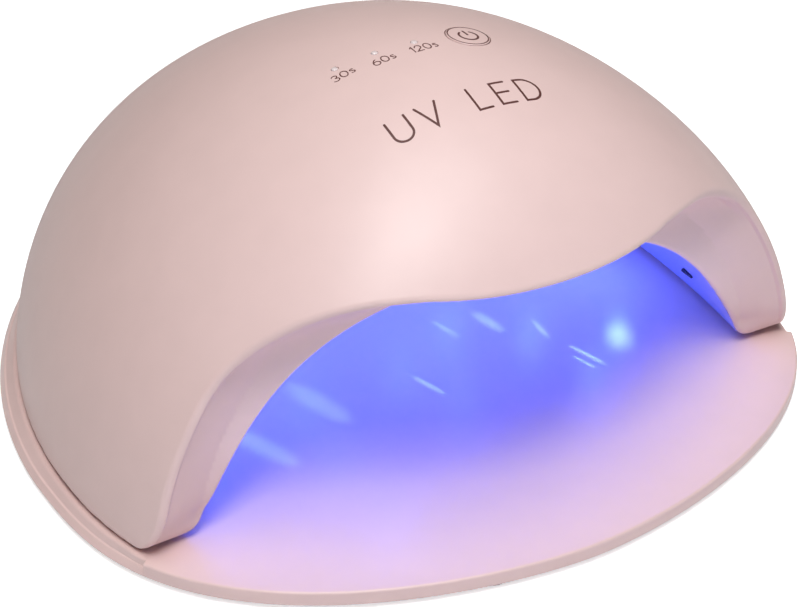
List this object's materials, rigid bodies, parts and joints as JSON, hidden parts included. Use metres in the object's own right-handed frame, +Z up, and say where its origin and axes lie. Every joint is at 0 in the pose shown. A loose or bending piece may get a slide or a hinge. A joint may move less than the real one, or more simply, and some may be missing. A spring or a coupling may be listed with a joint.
{
  "type": "uv led nail lamp",
  "caption": "Domed desktop lamp for curing gel nail polish: satin pink shell with a wavy hand opening, white LED-lined cavity, push button with timer indicators, and a lift-off flat tray.",
  "frame": {"origin": "centre of the tray's footprint, on the surface the lamp stands on", "axes": "+Z up; the hand opening faces -Y; +X is to the right for someone facing the opening's side from the front"},
  "size_m": [0.2146, 0.223, 0.105],
  "materials": {
    "shell_pink": "satin rose-pink moulding",
    "tray_pink": "satin rose-pink moulding, smoother than the shell",
    "lining_white": "semi-gloss white reflector",
    "strip_white": "white solder mask",
    "board_green": "green solder mask",
    "chip_black": "moulded epoxy",
    "connector_white": "natural nylon",
    "dark_window": "infrared-passing dark window",
    "inlet_black": "black moulded socket",
    "cable_black": "flexible insulation",
    "foot_rubber": "matt pink-grey rubber",
    "steel": "zinc plated",
    "magnet_nickel": "nickel plated",
    "clear_pipe": "clear light pipe",
    "led_lens": "clear dome lens"
  },
  "bodies": {
    "tray": {"base_tray": "tray_pink", "rubber_foot_1": "foot_rubber", "rubber_foot_2": "foot_rubber", "rubber_foot_3": "foot_rubber", "rubber_foot_4": "foot_rubber", "rubber_foot_5": "foot_rubber", "rubber_foot_6": "foot_rubber", "catch_plate_1": "steel", "catch_plate_2": "steel", "catch_plate_3": "steel", "catch_plate_4": "steel"},
    "lamp": {"outer_shell": "shell_pink", "reflector_lining": "lining_white", "bottom_cover": "shell_pink", "led_strip_front": "strip_white", "led_strip_middle": "strip_white", "led_strip_rear": "strip_white", "uv_led_1": "led_lens", "uv_led_2": "led_lens", "uv_led_3": "led_lens", "uv_led_4": "led_lens", "uv_led_5": "led_lens", "uv_led_6": "led_lens", "uv_led_7": "led_lens", "uv_led_8": "led_lens", "uv_led_9": "led_lens", "uv_led_10": "led_lens", "uv_led_11": "led_lens", "uv_led_12": "led_lens", "uv_led_13": "led_lens", "uv_led_14": "led_lens", "uv_led_15": "led_lens", "cover_screw_1": "steel", "cover_screw_2": "steel", "cover_screw_3": "steel", "cover_screw_4": "steel", "lamp_magnet_1": "magnet_nickel", "lamp_magnet_2": "magnet_nickel", "lamp_magnet_3": "magnet_nickel", "lamp_magnet_4": "magnet_nickel", "control_board": "board_green", "board_screw_1": "steel", "board_screw_2": "steel", "tact_switch": "chip_black", "processor_chip": "chip_black", "power_capacitor": "steel", "lead_connector": "connector_white", "indicator_led_1": "led_lens", "indicator_led_2": "led_lens", "indicator_led_3": "led_lens", "indicator_pipe_1": "clear_pipe", "indicator_pipe_2": "clear_pipe", "indicator_pipe_3": "clear_pipe", "sensor_window": "dark_window", "sensor_module": "chip_black", "power_inlet": "inlet_black", "power_lead": "cable_black", "sensor_lead": "cable_black"},
    "power_button": {"power_button": "shell_pink"}
  },
  "joints": [
    {"name": "lamp_lift", "type": "slide", "parent": "tray", "child": "lamp", "axis": [0, 0, 1], "range_m": [0, 0.06]},
    {"name": "button_press", "type": "slide", "parent": "lamp", "child": "power_button", "axis": [-0.1831, 0.0113, -0.983], "range_m": [0, 0.0006], "stiffness_N_per_m": 1500}
  ]
}
